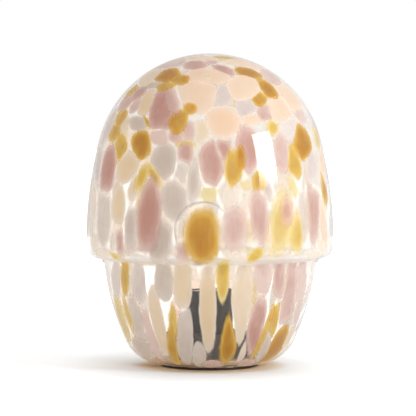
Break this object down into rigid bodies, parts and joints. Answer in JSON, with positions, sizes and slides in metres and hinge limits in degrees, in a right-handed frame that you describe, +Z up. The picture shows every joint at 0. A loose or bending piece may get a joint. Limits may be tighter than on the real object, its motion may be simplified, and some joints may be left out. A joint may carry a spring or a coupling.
{
  "type": "cordless table lamp",
  "caption": "Mushroom-shaped cordless table lamp: a blown glass shade with melted-in colour spots lifts off a rechargeable light unit with a button and socket underneath.",
  "frame": {"origin": "on the table, under the lamp's axis", "axes": "+Z up along the lamp's axis, and the pictured front faces -Y"},
  "size_m": [0.19, 0.19, 0.24],
  "materials": {
    "shade_glass": "clear blown glass with coloured chips melted in",
    "black_silicone": "moulded, matt",
    "housing_plastic": "moulded, fine satin",
    "plate_plastic": "moulded, fine grain",
    "screw_steel": "blackened",
    "button_plastic": "moulded, satin",
    "plunger_plastic": "moulded",
    "switch_plastic": "moulded",
    "socket_steel": "drawn, plated",
    "insulator_plastic": "moulded",
    "clear_acrylic": "moulded, clear",
    "circuit_board": "solder resist",
    "chip_epoxy": "moulded",
    "ferrite": "pressed powder",
    "socket_nylon": "moulded",
    "carrier_plastic": "moulded",
    "cell_sleeve": "shrink sleeve over a steel can",
    "nickel": "rolled strip",
    "battery_lead_insulation": "extruded",
    "lead_insulation": "extruded",
    "foam": "closed-cell foam",
    "column_aluminium": "turned, dark anodised",
    "nut_aluminium": "turned",
    "spreader_aluminium": "stamped",
    "light_board": "white solder resist",
    "chip_phosphor": "silicone phosphor",
    "white_plastic": "moulded",
    "opal_plastic": "moulded, frosted"
  },
  "bodies": {
    "light_unit": {"seat_gasket": "black_silicone", "foot_ring": "black_silicone", "base_housing": "housing_plastic", "base_plate": "plate_plastic", "base_plate_screws": "screw_steel", "tact_switch": "switch_plastic", "usb_c_shell": "socket_steel", "usb_c_tongue": "insulator_plastic", "charge_light_pipe": "clear_acrylic", "main_board": "circuit_board", "main_board_screws": "screw_steel", "board_chips": "chip_epoxy", "driver_inductor": "ferrite", "lead_sockets": "socket_nylon", "battery_carrier": "carrier_plastic", "battery_cell": "cell_sleeve", "battery_tabs": "nickel", "battery_leads": "battery_lead_insulation", "cell_pad": "foam", "led_leads": "lead_insulation", "light_column": "column_aluminium", "column_nut": "nut_aluminium", "heat_spreader": "spreader_aluminium", "led_board": "light_board", "led_board_screws": "screw_steel", "led_chips": "chip_phosphor", "reflector_ring": "white_plastic", "diffuser": "opal_plastic"},
    "shade": {"glass_shade": "shade_glass"},
    "button": {"power_button": "button_plastic", "switch_plunger": "plunger_plastic"}
  },
  "joints": [
    {"name": "shade_lift", "type": "slide", "parent": "light_unit", "child": "shade", "axis": [0, 0, 1], "range_m": [0, 0.07]},
    {"name": "button_press", "type": "slide", "parent": "light_unit", "child": "button", "axis": [0, 0, 1], "range_m": [0, 0.0005], "stiffness_N_per_m": 3000}
  ]
}
